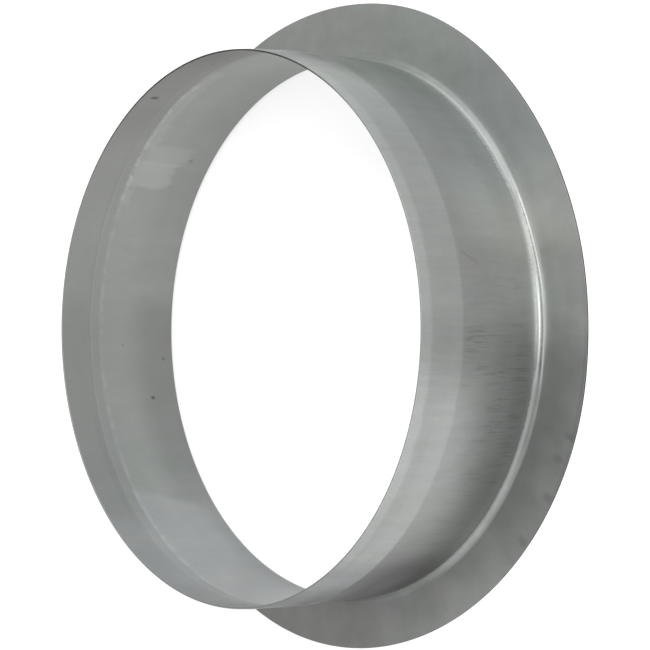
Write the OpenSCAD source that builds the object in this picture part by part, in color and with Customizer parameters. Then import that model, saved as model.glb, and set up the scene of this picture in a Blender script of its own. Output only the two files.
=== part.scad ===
/* [Neck] */
// Outside diameter of the straight neck, a little under the bore of the duct that slips over it
neck_d = 249.2; // [100:0.1:630]
// Height of the crease where the straight neck ends, from the back of the flange
crease_h = 48; // [20:0.5:200]

/* [Flange] */
// Width of the flat flange, from the outside of the neck to the cut rim
flange_w = 25.4; // [12:0.2:80]
// Radius of the bend between the flange and the neck, on the side where the metal is concave
bend_r = 2.7; // [1:0.1:8]

/* [Sheet] */
// Thickness of the galvanised sheet that the whole collar is pressed from
sheet_t = 0.7; // [0.4:0.1:2]

/* [Lead-in] */
// Length of the shoulder just past the crease, where the neck starts to draw in
shoulder_len = 5.6; // [2:0.1:15]
// How far the shoulder draws in, measured on the radius
shoulder_draw = 0.45; // [0.1:0.05:1.5]
// Length of the long, gentle cone that carries most of the lead-in
cone_len = 11; // [4:0.1:40]
// How far the gentle cone draws in, measured on the radius
cone_draw = 0.45; // [0.1:0.05:1.5]
// Length of the lip at the free edge, which is curled in a little more
lip_len = 5.4; // [2:0.1:15]
// How far the lip draws in, measured on the radius
lip_draw = 0.55; // [0.1:0.05:1.5]

/* [Hidden] */

$fn = 180;

neck_r = neck_d / 2;
flange_r = neck_r + flange_w;
bend_outer_r = bend_r + sheet_t;
// The bend turns about a point that is one bend radius out from the neck and up from the flange
bend_axis_r = neck_r + bend_r;
bend_axis_h = bend_outer_r;

// The outside line of the wall, from the top of the bend up to the free edge, as [radius, height]
wall_line = [
    [neck_r, bend_axis_h],
    [neck_r, crease_h],
    [neck_r - shoulder_draw, crease_h + shoulder_len],
    [neck_r - shoulder_draw - cone_draw, crease_h + shoulder_len + cone_len],
    [neck_r - shoulder_draw - cone_draw - lip_draw, crease_h + shoulder_len + cone_len + lip_len]
];

// Unit vector square to the step from one point to the next, pointing in towards the axis
function inward(from, to) =
    let (step = to - from)
    [-step[1], step[0]] / norm(step);

// Offset that keeps a full sheet thickness on both sides of a corner in the line
function corner_offset(before, after) = (before + after) / (1 + before * after);

// The same line on the inside of the sheet
function inside_line(line) =
    let (last = len(line) - 1)
    [
        for (i = [0 : last])
            let (
                before = inward(line[max(i - 1, 0)], line[max(i, 1)]),
                after = inward(line[min(i, last - 1)], line[min(i + 1, last)])
            )
            line[i] + sheet_t * corner_offset(before, after)
    ];

function reversed(line) = [for (i = [len(line) - 1 : -1 : 0]) line[i]];

// Straight neck, shoulder, cone and lip: one band of even thickness
module wall_section() {
    polygon(concat(wall_line, reversed(inside_line(wall_line))));
}

// Quarter ring of sheet that turns from the neck out into the flange
module bend_section() {
    translate([bend_axis_r, bend_axis_h])
        difference() {
            intersection() {
                circle(r = bend_outer_r);
                translate([-bend_outer_r, -bend_outer_r])
                    square(bend_outer_r);
            }
            circle(r = bend_r);
        }
}

// Flat flange out to its plain cut rim
module flange_section() {
    translate([bend_axis_r, 0])
        square([flange_r - bend_axis_r, sheet_t]);
}

// The collar as it leaves the press: one sheet, turned about the duct's axis
module flanged_collar() {
    color("#8e9491")
        rotate_extrude()
            union() {
                flange_section();
                bend_section();
                wall_section();
            }
}

flanged_collar();
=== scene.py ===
import math

import bpy
from mathutils import Matrix, Vector


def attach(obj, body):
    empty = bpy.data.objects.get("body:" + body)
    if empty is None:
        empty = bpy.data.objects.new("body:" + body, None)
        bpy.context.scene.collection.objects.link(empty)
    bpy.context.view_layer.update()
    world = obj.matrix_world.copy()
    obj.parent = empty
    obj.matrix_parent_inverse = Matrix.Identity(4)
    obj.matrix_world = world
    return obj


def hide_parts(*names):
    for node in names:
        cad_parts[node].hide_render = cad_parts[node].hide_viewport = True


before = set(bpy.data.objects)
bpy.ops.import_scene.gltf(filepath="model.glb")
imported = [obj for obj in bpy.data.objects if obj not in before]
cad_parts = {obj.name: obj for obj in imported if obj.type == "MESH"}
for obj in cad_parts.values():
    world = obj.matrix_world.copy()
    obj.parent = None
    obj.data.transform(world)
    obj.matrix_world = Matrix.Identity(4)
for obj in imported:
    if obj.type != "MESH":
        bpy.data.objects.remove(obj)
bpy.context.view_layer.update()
scene = bpy.context.scene

MM = 0.001
DEGREES = 180 / math.pi

# The camera stands where the photograph was taken from, with the part's +Y up in the picture
CAMERA_PLACE = Vector((691.5, 0, 644.3)) * MM
CAMERA_AIM = Vector((27.93, 1.68, 35)) * MM
CAMERA_ROLL = math.radians(-0.26)
LENS_MM = 112.58

# The collar's own sizes, the same as in the part's source
SHEET = 0.7 * MM
NECK_RADIUS = 124.6 * MM
BEND_RADIUS = 2.7 * MM
CREASE_HEIGHT = 48 * MM
COLLAR_HEIGHT = 70 * MM
SHOULDER_LENGTH = 5.6 * MM
SHOULDER_DRAW = 0.45 * MM
CONE_LENGTH = 11 * MM
CONE_DRAW = 0.45 * MM
LIP_DRAW = 0.55 * MM

# How finely the sheet is drawn
RING_POINTS = 288
BEND_STEPS = 14
FLANGE_STEPS = 8
CREASE_SOFTNESS = 0.7 * MM
CUT_EDGE_ROUND = 0.12 * MM
RIM_SUPPORT = 0.4 * MM

# The blank was trimmed a little off centre and out of round, as the photograph's rim shows
RIM_MEAN_RADIUS = 149.05 * MM
RIM_SHIFT = Vector((0.87, 1.6)) * MM
RIM_SQUARENESS = Vector((0.17, -0.56)) * MM
RIM_THREE_CORNERS = 0.28 * MM
# The photograph's rim would leave the CAD's box at the top and the right, so it eases back there
TOP_EASE = 0.90 * MM
TOP_EASE_ANGLE = math.radians(25)
RIGHT_EASE = 0.44 * MM
RIGHT_EASE_ANGLE = math.radians(18)

# The free edge stands a little to one side, and the foot's left half is a little oval
FREE_EDGE_SHIFT = Vector((-0.42, -0.22)) * MM
FOOT_OVAL = 0.45 * MM
FOOT_OVAL_TOP = 24 * MM


class Wire:
    """A node's output, with arithmetic that adds Math nodes."""

    def __init__(self, sheet, socket):
        self.sheet = sheet
        self.socket = socket

    def maths(self, operation, *values, clamp=False):
        return self.sheet.node("Math", {"operation": operation, "use_clamp": clamp}, values)

    def __add__(self, other):
        return self.maths("ADD", self, other)

    def __radd__(self, other):
        return self.maths("ADD", other, self)

    def __sub__(self, other):
        return self.maths("SUBTRACT", self, other)

    def __rsub__(self, other):
        return self.maths("SUBTRACT", other, self)

    def __mul__(self, other):
        return self.maths("MULTIPLY", self, other)

    def __rmul__(self, other):
        return self.maths("MULTIPLY", other, self)

    def __truediv__(self, other):
        return self.maths("DIVIDE", self, other)

    def __rtruediv__(self, other):
        return self.maths("DIVIDE", other, self)

    def clamped(self):
        return self.maths("ADD", self, 0.0, clamp=True)

    def sine(self):
        return self.maths("SINE", self)

    def root(self):
        return self.maths("SQRT", self)

    def size(self):
        return self.maths("ABSOLUTE", self)

    def larger(self, other):
        return self.maths("MAXIMUM", self, other)

    def smaller(self, other):
        return self.maths("MINIMUM", self, other)

    def fade(self, start, end, low=0.0, high=1.0):
        """A soft step from low at start to high at end."""
        settings = {"interpolation_type": "SMOOTHSTEP", "clamp": True}
        return self.sheet.node("MapRange", settings,
                               {"Value": self, "From Min": start, "From Max": end,
                                "To Min": low, "To Max": high})

    def band(self, centre, half_width):
        """1 at the centre, falling softly to 0 at the half width on both sides."""
        return (self - centre).size().fade(half_width, 0.0)


class FinishSheet:
    """The nodes of one material, or of the room round the collar."""

    def __init__(self, owner, output="OutputMaterial"):
        self.owner = owner
        self.output = output
        owner.use_nodes = True
        self.tree = owner.node_tree
        self.tree.nodes.clear()

    def node(self, kind, settings=None, inputs=None, output=0):
        made = self.tree.nodes.new("ShaderNode" + kind)
        for name, value in (settings or {}).items():
            setattr(made, name, value)
        pairs = inputs.items() if isinstance(inputs, dict) else enumerate(inputs or ())
        for socket, value in pairs:
            if isinstance(value, Wire):
                self.tree.links.new(value.socket, made.inputs[socket])
            else:
                made.inputs[socket].default_value = value
        return Wire(self, made.outputs[output]) if made.outputs else None

    def mix(self, first, second, share, blend="MIX"):
        """Two colours mixed. A colour is a wire or three linear values."""
        def colour(value):
            return value if isinstance(value, Wire) else (*value, 1.0)
        made = self.tree.nodes.new("ShaderNodeMix")
        made.data_type = "RGBA"
        made.blend_type = blend
        made.clamp_result = False
        for name, value in (("Factor_Float", share), ("A_Color", colour(first)),
                            ("B_Color", colour(second))):
            socket = next(s for s in made.inputs if s.identifier == name)
            if isinstance(value, Wire):
                self.tree.links.new(value.socket, socket)
            else:
                socket.default_value = value
        return Wire(self, next(s for s in made.outputs if s.identifier == "Result_Color"))

    def noise(self, place, scale, detail=2.0, roughness=0.5, distortion=0.0):
        return self.node("TexNoise", {"noise_dimensions": "3D"},
                         {"Vector": place, "Scale": scale, "Detail": detail,
                          "Roughness": roughness, "Distortion": distortion})

    def surface(self, shader):
        self.node(self.output, None, {"Surface": shader})
        return self.owner


def deselect_everything():
    if bpy.context.object and bpy.context.object.mode != "OBJECT":
        bpy.ops.object.mode_set(mode="OBJECT")
    bpy.ops.object.select_all(action="DESELECT")


def select_ring(piece, height):
    """Leaves only the ring of points at this height selected, in edit mode."""
    bpy.ops.object.mode_set(mode="EDIT")
    bpy.ops.mesh.select_mode(type="VERT")
    bpy.ops.mesh.select_all(action="DESELECT")
    bpy.ops.object.mode_set(mode="OBJECT")
    for point in piece.data.vertices:
        point.select = abs(point.co.z - height) < 0.01 * MM
    bpy.ops.object.mode_set(mode="EDIT")


def draw_ring(radius, height, to_radius, to_height):
    """Extrudes the selected ring and works it out to a new radius and height."""
    bpy.ops.mesh.extrude_edges_move(
        TRANSFORM_OT_translate={"value": (0, 0, to_height - height)})
    ratio = to_radius / radius
    bpy.ops.transform.resize(value=(ratio, ratio, 1), center_override=(0, 0, to_height))
    return to_radius, to_height


def turn_out_flange():
    """From the foot of the neck round the bend and out over the flange, on the upper side."""
    bend_axis_radius = NECK_RADIUS + BEND_RADIUS
    bend_axis_height = BEND_RADIUS + SHEET
    radius, height = NECK_RADIUS, bend_axis_height
    for step in range(1, BEND_STEPS + 1):
        angle = math.radians(90 * step / BEND_STEPS)
        radius, height = draw_ring(radius, height,
                                   bend_axis_radius - BEND_RADIUS * math.cos(angle),
                                   bend_axis_height - BEND_RADIUS * math.sin(angle))
    first = radius
    last = RIM_MEAN_RADIUS - RIM_SUPPORT
    for step in range(1, FLANGE_STEPS + 1):
        radius, height = draw_ring(radius, height,
                                   first + (last - first) * step / FLANGE_STEPS, height)
    draw_ring(radius, height, RIM_MEAN_RADIUS, height)


def draw_in_lead():
    """From the crease up over the shoulder, the cone and the lip, on the outer side."""
    radius, height = draw_ring(NECK_RADIUS, CREASE_HEIGHT - CREASE_SOFTNESS,
                               NECK_RADIUS, CREASE_HEIGHT)
    lip_length = COLLAR_HEIGHT - CREASE_HEIGHT - SHOULDER_LENGTH - CONE_LENGTH
    for length, draw in ((SHOULDER_LENGTH, SHOULDER_DRAW), (CONE_LENGTH, CONE_DRAW),
                         (lip_length, LIP_DRAW)):
        start_radius, start_height = radius, height
        for rise in (CREASE_SOFTNESS, length - CREASE_SOFTNESS, length):
            radius, height = draw_ring(radius, height, start_radius - draw * rise / length,
                                       start_height + rise)


def soft_hump(place, half_width):
    """1 at 0, falling softly to 0 at the half width on both sides."""
    away = min(abs(place) / half_width, 1)
    return (1 + math.cos(math.pi * away)) / 2


def rim_reach(angle):
    """How far out the rim was trimmed at this angle, from -pi to pi."""
    return (RIM_MEAN_RADIUS + RIM_SHIFT.x * math.cos(angle) + RIM_SHIFT.y * math.sin(angle)
            + RIM_THREE_CORNERS * math.cos(3 * angle)
            + RIM_SQUARENESS.x * math.cos(4 * angle)
            + RIM_SQUARENESS.y * math.sin(4 * angle)
            - TOP_EASE * soft_hump(angle - math.pi / 2, TOP_EASE_ANGLE)
            - RIGHT_EASE * soft_hump(angle, RIGHT_EASE_ANGLE))


def trim_rim(piece):
    """Moves the rim where the real blank was trimmed. The flange inside it follows."""
    inner = NECK_RADIUS + BEND_RADIUS
    for point in piece.data.vertices:
        reach = math.hypot(point.co.x, point.co.y)
        if reach <= inner:
            continue
        share = (reach - inner) / (RIM_MEAN_RADIUS - inner)
        rim = rim_reach(math.atan2(point.co.y, point.co.x))
        grown = (inner + (rim - inner) * share) / reach
        point.co.x *= grown
        point.co.y *= grown


def ease_out_of_round(piece):
    """Shifts the free edge, and presses the foot's left half oval."""
    for point in piece.data.vertices:
        lead_share = max(point.co.z - CREASE_HEIGHT, 0) / (COLLAR_HEIGHT - CREASE_HEIGHT)
        point.co.x += FREE_EDGE_SHIFT.x * lead_share
        point.co.y += FREE_EDGE_SHIFT.y * lead_share
        if point.co.x < 0:
            reach = math.hypot(point.co.x, point.co.y)
            foot_share = max(1 - point.co.z / FOOT_OVAL_TOP, 0) * (NECK_RADIUS / reach)
            oval = FOOT_OVAL * math.sin(2 * math.atan2(point.co.y, point.co.x))
            point.co.x *= 1 + oval * foot_share / reach
            point.co.y *= 1 + oval * foot_share / reach


def apply_modifier(piece, kind, **settings):
    bpy.context.view_layer.objects.active = piece
    modifier = piece.modifiers.new(kind.title(), kind)
    for name, value in settings.items():
        setattr(modifier, name, value)
    bpy.ops.object.modifier_apply(modifier=modifier.name)


def build_collar(finishes):
    deselect_everything()
    foot = BEND_RADIUS + SHEET
    top = CREASE_HEIGHT - CREASE_SOFTNESS
    bpy.ops.mesh.primitive_cylinder_add(
        vertices=RING_POINTS, radius=NECK_RADIUS, depth=top - foot,
        end_fill_type="NOTHING", location=(0, 0, (top + foot) / 2))
    collar = bpy.context.object
    collar.name = "pressed_collar"
    bpy.ops.object.transform_apply(location=True, rotation=True, scale=True)
    select_ring(collar, foot)
    turn_out_flange()
    select_ring(collar, top)
    draw_in_lead()
    bpy.ops.mesh.select_all(action="SELECT")
    bpy.ops.mesh.remove_doubles(threshold=0.001 * MM)
    bpy.ops.mesh.normals_make_consistent(inside=False)
    bpy.ops.object.mode_set(mode="OBJECT")
    trim_rim(collar)
    ease_out_of_round(collar)
    for finish in finishes:
        collar.data.materials.append(finish)
    apply_modifier(collar, "SOLIDIFY", thickness=SHEET, offset=-1, use_even_offset=True,
                   material_offset=1, material_offset_rim=2)
    apply_modifier(collar, "BEVEL", width=CUT_EDGE_ROUND, segments=3, limit_method="ANGLE",
                   angle_limit=math.radians(60))
    bpy.ops.object.select_all(action="DESELECT")
    collar.select_set(True)
    bpy.ops.object.shade_smooth_by_angle(angle=math.radians(30))
    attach(collar, "root")
    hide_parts("flanged_collar")
    return collar


class CollarPlaces:
    """Where a point lies on the collar: in millimetres, and in degrees round the axis."""

    def __init__(self, sheet):
        self.sheet = sheet
        metres = sheet.node("TexCoord", None, None, "Object")
        self.spot = sheet.node("VectorMath", {"operation": "SCALE"},
                               {"Vector": metres, "Scale": 1000.0})
        across = sheet.node("SeparateXYZ", None, {"Vector": self.spot}, "X")
        up = sheet.node("SeparateXYZ", None, {"Vector": self.spot}, "Y")
        self.height = sheet.node("SeparateXYZ", None, {"Vector": self.spot}, "Z")
        self.reach = (across * across + up * up).root()
        self.right_angle = up.maths("ARCTAN2", up, across) * DEGREES
        self.left_angle = up.maths("ARCTAN2", up * -1.0, across * -1.0) * DEGREES
        # 1 on the sides that the photograph shows, and 0 where an angle jumps at the back
        self.shown_outside = self.right_angle.size().fade(166, 112)
        self.shown_inside = self.left_angle.size().fade(160, 100)
        bend_axis_reach = (NECK_RADIUS + BEND_RADIUS) / MM
        bend_axis_height = (SHEET + BEND_RADIUS) / MM
        self.bend_turn = up.maths("ARCTAN2", bend_axis_height - self.height,
                                  bend_axis_reach - self.reach) * DEGREES
        onto_neck = (NECK_RADIUS / MM) / self.reach
        self.ring_x = across * onto_neck
        self.ring_y = up * onto_neck
        self.along = self.height - self.reach

    def drawn_out(self, width, length):
        """A place for noise with spots this wide round the axis, and this long across it."""
        return self.sheet.node("CombineXYZ", None,
                               (self.ring_x * (1 / width), self.ring_y * (1 / width),
                                self.along * (1 / length)))

    def patch(self, angle, along, centre_angle, half_angle, centre_along, half_along, core=0.0):
        """A soft round patch: 1 in its core, a share of its radius, and 0 at its edge."""
        sideways = (angle - centre_angle) * (1 / half_angle)
        lengthwise = (along - centre_along) * (1 / half_along)
        return (sideways * sideways + lengthwise * lengthwise).root().fade(1.0, core)

    def field(self, angle, along, angles, alongs, soft_angle, soft_along):
        """1 between two angles and two places along the sheet, with edges this soft."""
        return (angle.fade(angles[0] - soft_angle, angles[0] + soft_angle)
                * angle.fade(angles[1] + soft_angle, angles[1] - soft_angle)
                * along.fade(alongs[0] - soft_along, alongs[0] + soft_along)
                * along.fade(alongs[1] + soft_along, alongs[1] - soft_along))

    def scratch(self, angle, along, start, end, half_width):
        """A straight thin line from one [angle, place along] to another."""
        round_mm = NECK_RADIUS / MM / DEGREES
        run = Vector(((end[0] - start[0]) * round_mm, end[1] - start[1]))
        step = run.normalized()
        sideways = (angle - start[0]) * round_mm
        lengthwise = along - start[1]
        passed = sideways * step.x + lengthwise * step.y
        off = (sideways * step.y - lengthwise * step.x).size()
        return (off.fade(half_width, half_width * 0.2) * passed.fade(-1, 1)
                * passed.fade(run.length + 1, run.length - 3))


# Zinc that has dulled in four faint tints, bare metal where the press has worn it bright, which also
# paints the bend's highlight, and stains
ZINC_GREY = (0.2245, 0.230, 0.2245)
ZINC_GREEN = (0.207, 0.235, 0.219)
ZINC_BLUE = (0.220, 0.230, 0.232)
ZINC_WARM = (0.228, 0.2305, 0.219)
BARE_METAL_AND_HIGHLIGHT = (0.78, 0.80, 0.79)
STAIN = (0.075, 0.080, 0.062)
CUT_METAL = (0.035, 0.037, 0.035)
WORN_EDGE = (0.17, 0.175, 0.17)

# How light each stretch of the sheet is, as shares of those tints: partly the sheet's own tone,
# partly painted light and shade, with the lead-in and lip lighter outside and the bands past the
# creases darker inside, for how their tilt turns them to the light
FLANGE_TONE = 0.82
NECK_TONE = 0.93
LEAD_IN_TONE = 1.05
LIP_TONE = 1.16
THROAT_TONE = 1.08
SHOULDER_BAND_TONE = 1.0
THROAT_BAND_TONE = 0.96
DULL_ROUGHNESS = 0.44


def clouded_zinc(sheet, places, green, blue, warm):
    """The tints in soft clouds, drawn out the way that the sheet was drawn, and how they lean."""
    clouds = sheet.noise(places.drawn_out(19, 55), 1.0, 2, 0.5).fade(0.40, 0.64)
    warm_clouds = sheet.noise(places.drawn_out(14, 70), 1.0, 2, 0.45, 0.6).fade(0.48, 0.70)
    tint = sheet.mix(ZINC_GREY, ZINC_GREEN, (clouds * 0.12 + green).clamped())
    tint = sheet.mix(tint, ZINC_BLUE, blue)
    return sheet.mix(tint, ZINC_WARM, (warm_clouds * 0.35 + warm).clamped())


def clouded_tone(sheet, places, streakiness):
    """Faint clouds and streaks that run the way the sheet was drawn, and the coating's grain."""
    clouds = sheet.noise(places.drawn_out(20, 60), 1.0, 3, 0.55)
    streaks = sheet.noise(places.drawn_out(3.2, 24), 1.0, 3, 0.6)
    fine_streaks = sheet.noise(places.drawn_out(1.1, 16), 1.0, 2, 0.6)
    blotches = sheet.noise(places.spot, 1 / 9, 3, 0.55)
    grain = sheet.noise(places.spot, 1 / 1.1, 3, 0.6)
    drawn = (streaks - 0.5) * 0.16 + (fine_streaks - 0.5) * 0.08
    return (1.0 + (clouds - 0.5) * 0.14 + drawn * streakiness + (blotches - 0.5) * 0.10
            + (grain - 0.5) * 0.07)


def toned(sheet, colour, tone):
    return sheet.node("VectorMath", {"operation": "SCALE"}, {"Vector": colour, "Scale": tone})


def zinc_surface(sheet, places, colour, roughness):
    """Metal of this colour, with the fine bumps and slow waves of the coating."""
    bumps = sheet.noise(places.spot, 1 / 0.7, 2, 0.6)
    waves = sheet.noise(places.spot, 1 / 22, 1, 0.5)
    relief = sheet.node("Bump", None, {"Strength": 0.35, "Distance": 0.0001,
                                       "Height": bumps * 0.12 + waves * 2.0})
    steel = sheet.node("BsdfPrincipled", None, {"Base Color": colour, "Metallic": 1.0,
                                                "Roughness": roughness, "Normal": relief})
    return sheet.surface(steel)


def neck_patches(sheet, places, angle):
    """Broad lighter and darker patches of the neck and the lead-in, to add to a tone of 1: mostly
    painted light and shade, where the lamps and the room fall on the sheet and are reflected in it.
    """
    height = places.height
    streaky = sheet.noise(places.drawn_out(1.6, 18), 1.0, 3, 0.65) - 0.5
    plain_angle = places.right_angle + (angle - places.right_angle) * 0.4
    lead_in = height.fade(46.5, 49)
    neck = 1.0 - lead_in
    light_shoulder = places.field(plain_angle, height, (-48, -14), (48, 58), 5, 2)
    above_slope = (height - (angle + 30) * 0.5 + streaky * 12.0).fade(18, 44)
    side_edge = (plain_angle + streaky * 7.0).fade(-2, -17)
    light_side = (side_edge * above_slope
                  * (lead_in * plain_angle.fade(-70, -50) + neck * angle.fade(-60, -30)))
    dark_stripe = places.field(plain_angle + streaky * 4.0, height, (-8, 2), (14, 80), 4, 8)
    left_end = angle.fade(-46, -62) * neck
    low_lead_in = lead_in * height.fade(64, 54)
    # Painted shade on the far left of the lead-in and the neck
    left_corner = plain_angle.fade(-50, -76) * (0.30 + lead_in * 0.40 + low_lead_in * 0.16)
    left_lip = plain_angle.fade(-30, -46) * plain_angle.fade(-68, -54) * height.fade(60, 66)
    light_corner = angle.fade(-52, -64) * height.band(19, 15)
    right_end = angle.fade(56, 74) * height.fade(12, 46) * height.fade(54, 66, 1.0, 0.4)
    dark_shoulder = places.patch(angle, height, 67, 14, 46, 12, 0.3)
    light_streak = places.field(angle, height, (17, 32), (15, 38), 4, 7)
    light_below = places.field(angle, height, (2, 64), (-10, 27), 6, 7)
    light_low = places.field(angle, height, (-24, 24), (7, 20), 5, 4)
    light_right = places.field(angle, height, (45, 64), (46, 80), 4, 3)
    right_foot = angle.band(61, 16) * height.fade(11, 6)
    dark_streak_foot = angle.band(20, 9) * height.fade(9, 5)
    light_foot = angle.fade(-6, 4) * height.fade(18, 6)
    foot_edge = height.fade(12, 4)
    # Painted reflection: the bright bend's glow on the neck's foot
    glow = places.patch(angle, height, 1, 17, 3, 7)
    dark_foot = places.patch(angle, height, -30, 20, 9, 16, 0.2)
    light_top = places.field(plain_angle, height, (-30, 66), (65, 80), 8, 2.5)
    dark_top = angle.fade(70, 77) * neck * height.fade(10, 24)
    dark_lead_end = plain_angle.fade(66, 74) * lead_in
    far_corner = angle.fade(-64, -72) * height.fade(20, 8)
    left_streak = plain_angle.band(-61, 7) * lead_in
    return (light_top * 0.05 - left_lip * 0.13 + light_corner * 0.26 - dark_shoulder * 0.18
            + light_shoulder * 0.07 + light_low * 0.09 + light_right * 0.08
            + right_foot * 0.12 - dark_streak_foot * 0.08 - dark_top * 0.14
            + far_corner * 0.18 + left_streak * 0.09 - dark_lead_end * 0.32
            + light_side * (0.44 - lead_in * 0.14) - dark_stripe * 0.10 - left_end * 0.34
            - left_corner - right_end * 0.30 + light_streak * 0.16 + light_below * 0.15
            + light_foot * 0.16 + foot_edge * 0.16 + glow * 0.50 - dark_foot * 0.12)


def flange_patches(places, angle):
    """The same for the flange: painted light and shade, where the lamps, the neck and the room are
    reflected in it.
    """
    reach = places.reach
    left_end = angle.fade(-72, -86)
    light_below = places.field(angle, reach, (-61, -41), (126, 160), 6, 5)
    dark_right = places.field(angle, reach, (-25, -4), (120, 160), 4, 5)
    light_inside = places.field(angle, reach, (-72, -6), (120, 132), 5, 5)
    light_right = places.field(angle, reach, (0, 5), (134, 160), 1.5, 4)
    dark_inside = places.field(angle, reach, (-6, 16), (120, 132), 3, 5)
    dark_outside = places.field(angle, reach, (31, 46), (120, 134), 3, 5)
    light_streak = places.field(angle, reach, (14, 26), (120, 160), 6, 5)
    light_upper = places.field(angle, reach, (63, 100), (120, 131), 6, 4)
    right_end = angle.fade(50, 70)
    return (light_below * 0.23 + light_inside * 0.06 + light_right * 0.10 + light_streak * 0.05
            + light_upper * 0.08 + right_end * 0.05 - dark_inside * 0.15 - dark_outside * 0.12
            - dark_right * 0.08 - angle.band(10, 12) * 0.05 - left_end * 0.14)


def draw_marks(sheet, places, angle):
    """Short dark marks along the neck, fine and broad, where the tool dragged on the coating."""
    height = places.height
    fine = sheet.noise(places.drawn_out(0.7, 9), 1.0, 3, 0.65).fade(0.50, 0.70)
    broad = sheet.noise(places.drawn_out(1.5, 15), 1.0, 2, 0.55).fade(0.50, 0.66)
    clusters = sheet.noise(places.drawn_out(5, 26), 1.0, 2, 0.5).fade(0.40, 0.58)
    middle = places.field(angle, height, (-9, 0), (7, 46), 2, 3) * 1.3
    lower = places.field(angle, height, (-32, -9), (5, 30), 6, 7)
    right = places.field(angle, height, (0, 14), (8, 45), 4, 6)
    left = places.field(angle, height, (-54, -32), (5, 34), 8, 8)
    where = middle + lower * 0.8 + right * 0.35 + left * 0.35
    return (fine * 0.7 + broad * 0.5) * (0.15 + clusters * 0.85) * where


def rubbed_bend_and_highlight(sheet, places, double_line):
    """Where the press has worn the bend bright, with painted highlight along the bend's bright lines,
    as a share of bare metal.
    """
    turn, angle = places.bend_turn, places.right_angle
    ragged = sheet.noise(places.drawn_out(1.3, 12), 1.0, 3, 0.65) - 0.5
    top_edge = angle.fade(24, 34, -16, -46) - double_line * 14.0
    top_end = top_edge + 22.0 + double_line * 26.0
    first_line = ((turn + ragged * (50.0 - double_line * 40.0)).fade(top_edge, top_end)
                  * (turn + ragged * 18.0).fade(50, 4))
    strength = ((angle.fade(-50, -25, 0.08, 0.15) + angle.fade(-14, -4) * 0.31)
                * angle.fade(54, 72, 1.0, 0.5) * (1.0 + ragged * 0.9)
                + angle.band(1, 12) * 0.54)
    # Painted highlight: a bright line where the lamps are reflected along the bend
    painted_highlight_line = turn.band(29, 12) * angle.band(1.5, 11) * 0.7
    second_line = ((turn - angle.fade(4, 22, 73, 61)).band(0, 11) * double_line
                   * (0.11 + angle.band(11, 9) * 0.07))
    return (first_line * strength + painted_highlight_line + second_line).clamped()


def bend_light(sheet, places, double_line):
    """Painted light and shade: how much the bend and what is next to it gains or loses, as a share of
    its colour.
    """
    turn, angle = places.bend_turn, places.right_angle
    streaky = 1.0 + (sheet.noise(places.drawn_out(0.9, 10), 1.0, 2, 0.6) - 0.5) * 0.7
    glow_place = angle.fade(-30, -12, 0.0, 0.4) + angle.fade(-9, -1) * 0.6
    neck_glow = turn.band(-14, 34) * glow_place * angle.fade(38, 5)
    flange_glow = turn.band(89, 22) * angle.fade(-9, 0) * angle.fade(20, 11)
    upper_band = turn.band(18, 18) * angle.fade(2, 11) * angle.fade(28, 18) * streaky
    right_band = turn.band(55, 27) * angle.fade(28, 31) * angle.fade(52, 34)
    dark_middle = turn.band(54, 30) * angle.fade(-33, -20) * angle.fade(-3, -8)
    lower_line = turn.band(80, 14) * angle.fade(-19, -13) * angle.fade(-2, -8)
    lost_end = turn.fade(80, 45) + angle.fade(-70, -62)
    left_end = turn.fade(-30, -5) * turn.fade(96, 80) * angle.fade(-53, -61) * lost_end.clamped()
    left_foot = turn.fade(20, -10) * angle.band(-56, 8)
    far_left = turn.fade(70, 30) * angle.fade(-73, -80)
    right_end = turn.fade(-24, 6) * turn.fade(110, 88) * angle.fade(52, 76)
    light_lines = angle.band(15, 11) * (turn.band(8, 30) + turn.band(78, 24))
    upper_light = angle.band(40, 11) * turn.fade(-20, 5) * turn.fade(110, 85)
    upper_foot = angle.band(68, 9) * turn.fade(-62, -35) * turn.fade(25, -5)
    lost_line = turn.band(88, 12) * angle.fade(62, 70)
    seam = turn.band(48, 18) * double_line
    lower_seam = turn.band(66, 18) * double_line * angle.fade(11, 17)
    changes = (neck_glow * 0.8 + flange_glow * 0.42 + upper_band * 0.42 + right_band * 0.28
            + light_lines * 0.13 + upper_light * 0.09 + upper_foot * 0.12 + lost_line * 0.20
            + lower_line * 0.16 - dark_middle * 0.34 - left_end * 0.22 - left_foot * 0.14
            - far_left * 0.10 - right_end * 0.26 - seam * 0.24 - lower_seam * 0.22)
    return 1.0 + changes * places.shown_outside


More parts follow.
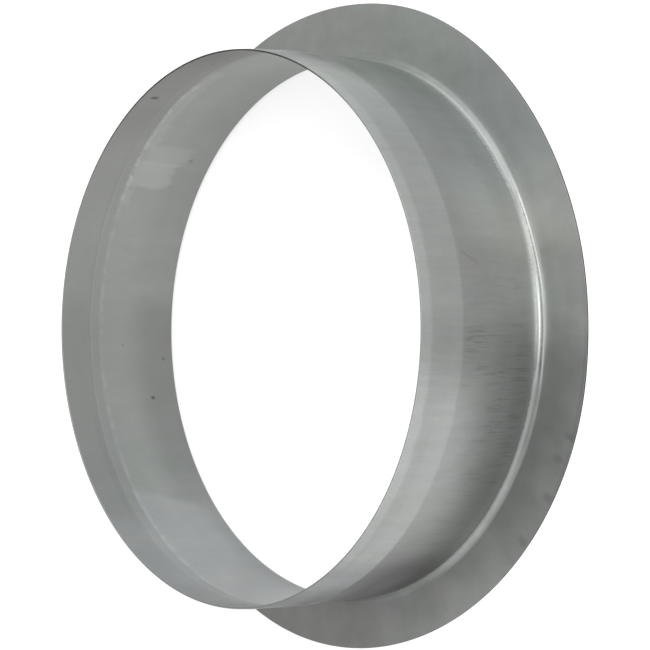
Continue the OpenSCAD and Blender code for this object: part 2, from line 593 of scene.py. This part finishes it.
def outside_finish():
    sheet = FinishSheet(bpy.data.materials.new("zinc_outside"))
    places = CollarPlaces(sheet)
    height, turn = places.height, places.bend_turn
    wander = sheet.noise(places.drawn_out(7, 30), 1.0, 3, 0.6) - 0.5
    angle = places.right_angle + wander * 6.0

    on_wall = height.fade(2.0, 6.0)
    lead_in = (height + wander * 2.0).fade(CREASE_HEIGHT / MM - 1.4, CREASE_HEIGHT / MM + 0.9)
    lip = (height + wander * 4.0).fade(63.4, 66.0)
    # Painted light and shade in part: each stretch's tone
    tone = (FLANGE_TONE + on_wall * (NECK_TONE - FLANGE_TONE)
            + lead_in * (LEAD_IN_TONE - NECK_TONE) + lip * (LIP_TONE - LEAD_IN_TONE))
    # Painted light and shade: the patches lighten and darken the neck, the lead-in and the flange
    patches = (neck_patches(sheet, places, angle) * on_wall
               + flange_patches(places, angle) * (1.0 - on_wall)) * places.shown_outside
    tone = tone * clouded_tone(sheet, places, 0.35 + on_wall * 0.65) * (1.0 + patches)

    mottled = sheet.noise(places.spot, 1 / 13, 3, 0.55)
    tone = tone * (1.0 + (mottled - 0.5) * (1.0 - on_wall) * 0.34)

    marks = draw_marks(sheet, places, angle)
    scratch = places.scratch(places.right_angle, height, (15.0, 45.6), (12.2, 35.2), 1.1)
    tone = tone * (1.0 - marks * 0.34) * (1.0 - scratch * 0.14)
    for smudge_angle, smudge_reach in ((-37.9, 145.5), (-28.6, 147), (-22, 144.5), (-17.6, 147.6)):
        smudge = places.patch(places.right_angle + wander * 3.0, places.reach,
                              smudge_angle, 1.2, smudge_reach, 4.5, 0.1)
        tone = tone * (1.0 - smudge * 0.20)
    dark_rim = places.reach.fade(147.4, 149.2) * angle.band(-12, 30) * (1.0 - on_wall)
    tone = tone * (1.0 - dark_rim * 0.16)

    double_line = places.field(places.right_angle, turn, (-9, 29), (-60, 120), 3, 5)
    speckle = sheet.noise(places.drawn_out(0.7, 4), 1.0, 2, 0.6).fade(0.38, 0.56)
    seam = ((turn - angle.fade(4, 22, 55, 46)).band(0, 12) * double_line
            * (0.35 + speckle * 0.65))
    tone = tone * (1.0 - seam * (0.5 + angle.band(20, 8) * 0.2))
    shown = places.shown_outside
    worn_bright_and_highlight = rubbed_bend_and_highlight(sheet, places, double_line) * (1.0 - seam * 0.8) * shown
    green = (angle.fade(12, 46) * 0.40 + places.field(angle, height, (50, 90), (14, 48), 8, 8) * 0.8
             + angle.fade(56, 84) * (1.0 - on_wall) * 0.3)
    warm = (places.field(angle, height, (12, 27), (-10, 40), 4, 8) * 0.55
            + angle.fade(60, 84) * (1.0 - on_wall) * 0.5
            + angle.fade(-74, -84) * (1.0 - on_wall) * 0.5)
    blue = (places.field(angle, height, (30, 56), (0, 90), 6, 6) * 0.6
            + lead_in * places.right_angle.fade(-44, -60) * 0.8)
    zinc = clouded_zinc(sheet, places, green * shown, blue * shown, warm * shown)
    # Bare metal where the bend is worn, and as painted highlight
    colour = sheet.mix(toned(sheet, zinc, tone), BARE_METAL_AND_HIGHLIGHT, worn_bright_and_highlight)
    # Painted light and shade on the bend and next to it
    colour = toned(sheet, colour, bend_light(sheet, places, double_line))
    rim_edge = height.fade(0.69, 0.62) * places.reach.fade(140, 145)
    colour = sheet.mix(colour, CUT_METAL, rim_edge * 0.7)
    in_bend = turn.fade(-10, 8) * turn.fade(98, 84)
    roughness = (DULL_ROUGHNESS + in_bend * (1.0 - double_line) * 0.26
                 - worn_bright_and_highlight * double_line * 0.14)
    return zinc_surface(sheet, places, colour, roughness)


def throat_patches(sheet, places):
    """Lighter and darker patches of the inside, mostly painted light and shade, and milky stains, to
    add to a tone of 1.
    """
    wander = sheet.noise(places.drawn_out(6, 14), 1.0, 3, 0.6) - 0.5
    ragged = sheet.noise(places.drawn_out(1.4, 22), 1.0, 3, 0.65) - 0.5
    angle = places.left_angle + wander * 3.0
    height = places.height + wander * 5.0
    brushed = places.height + ragged * 10.0
    crease = CREASE_HEIGHT / MM - 0.6
    on_wall = places.height.fade(crease + 0.3, crease - 0.3)
    below = crease - height
    light_below = ((angle - below * 0.16).fade(37.5, 40.5) * (angle + below * 0.5).fade(86, 76)
                   * height.fade(4, 16))
    light_start = places.field(angle, height, (36, 44), (-10, 34), 4, 8)
    light_crease = places.field(angle, height, (52, 66), (43, 54), 6, 2)
    right_foot = angle.fade(60, 72) * height.fade(18, 4)
    bright_below = places.field(angle, height, (48, 70), (28, 56), 7, 9)
    light_top = places.field(angle, height, (-85, -8), (24, crease), 8, 8)
    dark_foot = places.field(angle, height, (-6, 44), (-10, 24), 4, 10)
    milky = places.field(angle, brushed, (-40.5, -33.8), (22, 46), 0.6, 2)
    milky_side = places.field(angle, brushed, (-45.4, -40.5), (17, 44), 0.8, 3)
    milky_tip = places.field(angle, brushed, (-33, -29), (41.5, 47), 0.8, 1)
    milky_streak = places.field(angle, brushed, (-73, -45), (40, 80), 2, 2)
    band_angle = places.left_angle + wander * 8.0
    light_band = places.field(band_angle, height, (-44, -8), (54, 90), 8, 3)
    bright_band = places.field(band_angle, height, (47, 73), (40, 90), 6, 4)
    light_middle = band_angle.fade(-52, -42) * band_angle.fade(0, -12)
    shade = places.field(band_angle, places.height, (18, 48), (53.6, 57), 6, 1.2)
    dark_end = band_angle.fade(-66, -88)
    dark_bottom = places.left_angle.fade(80, 93)
    patches = (on_wall * (light_below * 0.13 + bright_below * 0.05 + light_top * 0.07
                       + milky * 0.19 + milky_side * 0.12 + milky_tip * 0.13
                       + milky_streak * 0.12 - dark_foot * 0.19
                       - right_foot * 0.12 + light_start * 0.08)
            + (1.0 - on_wall) * (light_band * 0.05 + light_middle * 0.07 + bright_band * 0.16
                                 - shade * 0.06 - dark_end * 0.30 - dark_bottom * 0.36)
            + light_crease * 0.07)
    return patches * places.shown_inside


def inside_finish():
    sheet = FinishSheet(bpy.data.materials.new("zinc_inside"))
    places = CollarPlaces(sheet)
    height, angle = places.height, places.left_angle
    crease = CREASE_HEIGHT / MM - 0.6
    second_crease = crease + SHOULDER_LENGTH / MM
    wander = sheet.noise(places.drawn_out(3, 8), 1.0, 2, 0.6) - 0.5
    shown = places.shown_inside
    dip = angle.fade(-60, -72) * shown * 2.4
    past_first = (height + wander * 1.6 + dip).fade(crease - 0.8, crease + 0.6)
    past_second = height.fade(second_crease - 0.4, second_crease + 0.4)
    # Painted shade in part: the bands past the creases made darker
    tone = (THROAT_TONE + past_first * (SHOULDER_BAND_TONE - THROAT_TONE)
            + past_second * (THROAT_BAND_TONE - SHOULDER_BAND_TONE))
    raggedness = angle.fade(-22, -40) * shown * 3.0 + 1.4
    patchy = sheet.noise(places.drawn_out(5, 9), 1.0, 2, 0.6).fade(0.36, 0.62, 0.1, 1.6)
    # Painted highlight along the first crease, and painted light and shade either side of the second
    edge_line = ((height + wander * raggedness + dip).band(crease - 1.4, 2.0) * patchy
                 * angle.fade(-20, -40, 1.0, 1.7) * angle.fade(-74, -62))
    thin_height = height + wander * 1.2
    thin_line = (thin_height.band(second_crease - 0.9, 1.0)
                 - thin_height.band(second_crease + 0.1, 0.9))
    line_faded = angle.fade(-48, -30, 0.15, 1.0) * angle.fade(50, 30, 0.4, 1.0)
    tone = tone + (edge_line * 0.09 + thin_line * line_faded * 0.06) * shown
    tone = tone * clouded_tone(sheet, places, 0.35) * (1.0 + throat_patches(sheet, places))
    slanted = angle - (crease - height).larger(0.0) * 0.22
    bluish = (slanted.fade(36, 42) * (1.0 - past_first) + angle.fade(42, 50) * past_first) * 0.9
    warm = (angle.fade(30, 10) * 0.35 + angle.fade(-20, -45) * past_first * 0.5).clamped()
    zinc = clouded_zinc(sheet, places, 0.22, bluish * shown, warm * shown)
    colour = toned(sheet, zinc, tone)
    top = COLLAR_HEIGHT / MM
    # The dark cut edge and its burr, with painted shade on the inside just under it
    edge = (height.fade(top - 0.5, top - 0.2) * dark_arc(places) * 0.5
            + height.fade(top - 1.4, top - 0.5) * angle.fade(-130, -112) * angle.fade(-74, -88) * 0.3)
    colour = sheet.mix(colour, CUT_METAL, edge)

    smudge = places.patch(angle, height, -60.6, 0.75, 62.2, 3.6, 0.3) * 0.85
    spot = places.patch(angle, height, 16.4, 0.6, 17.1, 1.8, 0.3)
    faint_spot = places.patch(angle, height, 7.2, 0.6, 7.6, 1.8, 0.2) * 0.45
    far_spot = places.patch(angle, height, -41.8, 0.8, 15.0, 2.2, 0.2) * 0.30
    speck = places.patch(angle, height, 4.0, 0.4, 32.8, 0.9, 0.2) * 0.40
    stains = (smudge + spot * 0.85 + faint_spot + far_spot + speck).clamped()
    return zinc_surface(sheet, places, sheet.mix(colour, STAIN, stains), DULL_ROUGHNESS)


def dark_arc(places):
    """1 on the top of the free edge, which shows dark, fading out down both sides."""
    return (places.left_angle.fade(-134, -112)
            * places.left_angle.fade(10, -72, 0.0, 1.0))


def cut_edge_finish():
    sheet = FinishSheet(bpy.data.materials.new("cut_edge"))
    places = CollarPlaces(sheet)
    nicks = sheet.noise(places.spot, 1 / 1.4, 3, 0.6)
    dark = dark_arc(places) + places.height.fade(60, 50)
    colour = sheet.mix(WORN_EDGE, CUT_METAL, dark.clamped())
    colour = sheet.mix(colour, ZINC_GREY, nicks.fade(0.55, 0.85))
    steel = sheet.node("BsdfPrincipled", None, {"Base Color": colour, "Metallic": 1.0,
                                                "Roughness": 0.5})
    return sheet.surface(steel)


def in_sight(sheet):
    """1 for what the camera, a reflection or clear glass looks at, and 0 for what only lights."""
    camera = sheet.node("LightPath", None, None, "Is Camera Ray")
    reflection = sheet.node("LightPath", None, None, "Is Glossy Ray")
    glass = sheet.node("LightPath", None, None, "Is Transmission Ray")
    return camera.larger(reflection).larger(glass)


# How much of the floor's own shading, and so of the collar's shadow, is seen on its white
SHADOW_SHARE = 0.3


def lay_floor():
    deselect_everything()
    bpy.ops.mesh.primitive_circle_add(vertices=96, radius=3, fill_type="NGON")
    floor = bpy.context.object
    floor.name = "pale_floor"
    sheet = FinishSheet(bpy.data.materials.new("pale_floor"))
    card = sheet.node("BsdfDiffuse", None, {"Color": (0.92, 0.92, 0.92, 1)})
    white = sheet.node("Emission", None, {"Color": (1, 1, 1, 1), "Strength": 1.0})
    shown = sheet.node("MixShader", None,
                       {0: in_sight(sheet) * (1 - SHADOW_SHARE), 1: card, 2: white})
    floor.data.materials.append(sheet.surface(shown))


def hang_lamp(name, azimuth, elevation, distance, width, height, watts):
    """A square soft lamp on a sphere round the collar, facing its middle."""
    lamp = bpy.data.lights.new(name, "AREA")
    lamp.shape = "RECTANGLE"
    lamp.size = width
    lamp.size_y = height
    lamp.energy = watts
    holder = bpy.data.objects.new(name, lamp)
    turn, rise = math.radians(azimuth), math.radians(elevation)
    away = Vector((math.cos(rise) * math.cos(turn), math.cos(rise) * math.sin(turn),
                   math.sin(rise)))
    holder.location = Vector((0, 0, 0.03)) + away * distance
    holder.rotation_euler = away.to_track_quat("Z", "Y").to_euler()
    scene.collection.objects.link(holder)


def light_room():
    scene.world = bpy.data.worlds.new("studio")
    sheet = FinishSheet(scene.world, "OutputWorld")
    room = sheet.node("Background", None, {"Color": (0.9, 0.95, 1.0, 1), "Strength": 0.25})
    white = sheet.node("Background", None, {"Color": (1, 1, 1, 1), "Strength": 1.0})
    sheet.surface(sheet.node("MixShader", None, {0: in_sight(sheet), 1: room, 2: white}))
    hang_lamp("window", 48, 42, 2.0, 2.7, 1.2, 80)
    hang_lamp("side", 300, 22, 2.0, 1.6, 1.0, 30)
    hang_lamp("back", 120, 35, 2.0, 1.6, 1.2, 7)
    hang_lamp("top", 0, 88, 2.0, 1.4, 1.4, 24)


def place_camera():
    camera = bpy.data.cameras.new("photographer")
    camera.sensor_width = 36
    camera.lens = LENS_MM
    camera.clip_start = 0.01
    camera.clip_end = 20
    holder = bpy.data.objects.new("photographer", camera)
    sight = (CAMERA_AIM - CAMERA_PLACE).normalized()
    up = Vector((0, 1, 0))
    up = (up - up.dot(sight) * sight).normalized()
    right = sight.cross(up)
    rolled_up = up * math.cos(CAMERA_ROLL) + right * math.sin(CAMERA_ROLL)
    rolled_right = right * math.cos(CAMERA_ROLL) - up * math.sin(CAMERA_ROLL)
    turn = Matrix((rolled_right, rolled_up, -sight)).transposed()
    holder.matrix_world = Matrix.Translation(CAMERA_PLACE) @ turn.to_4x4()
    scene.collection.objects.link(holder)
    scene.camera = holder


place_camera()
light_room()
lay_floor()
build_collar([outside_finish(), inside_finish(), cut_edge_finish()])

scene.view_settings.view_transform = "Standard"
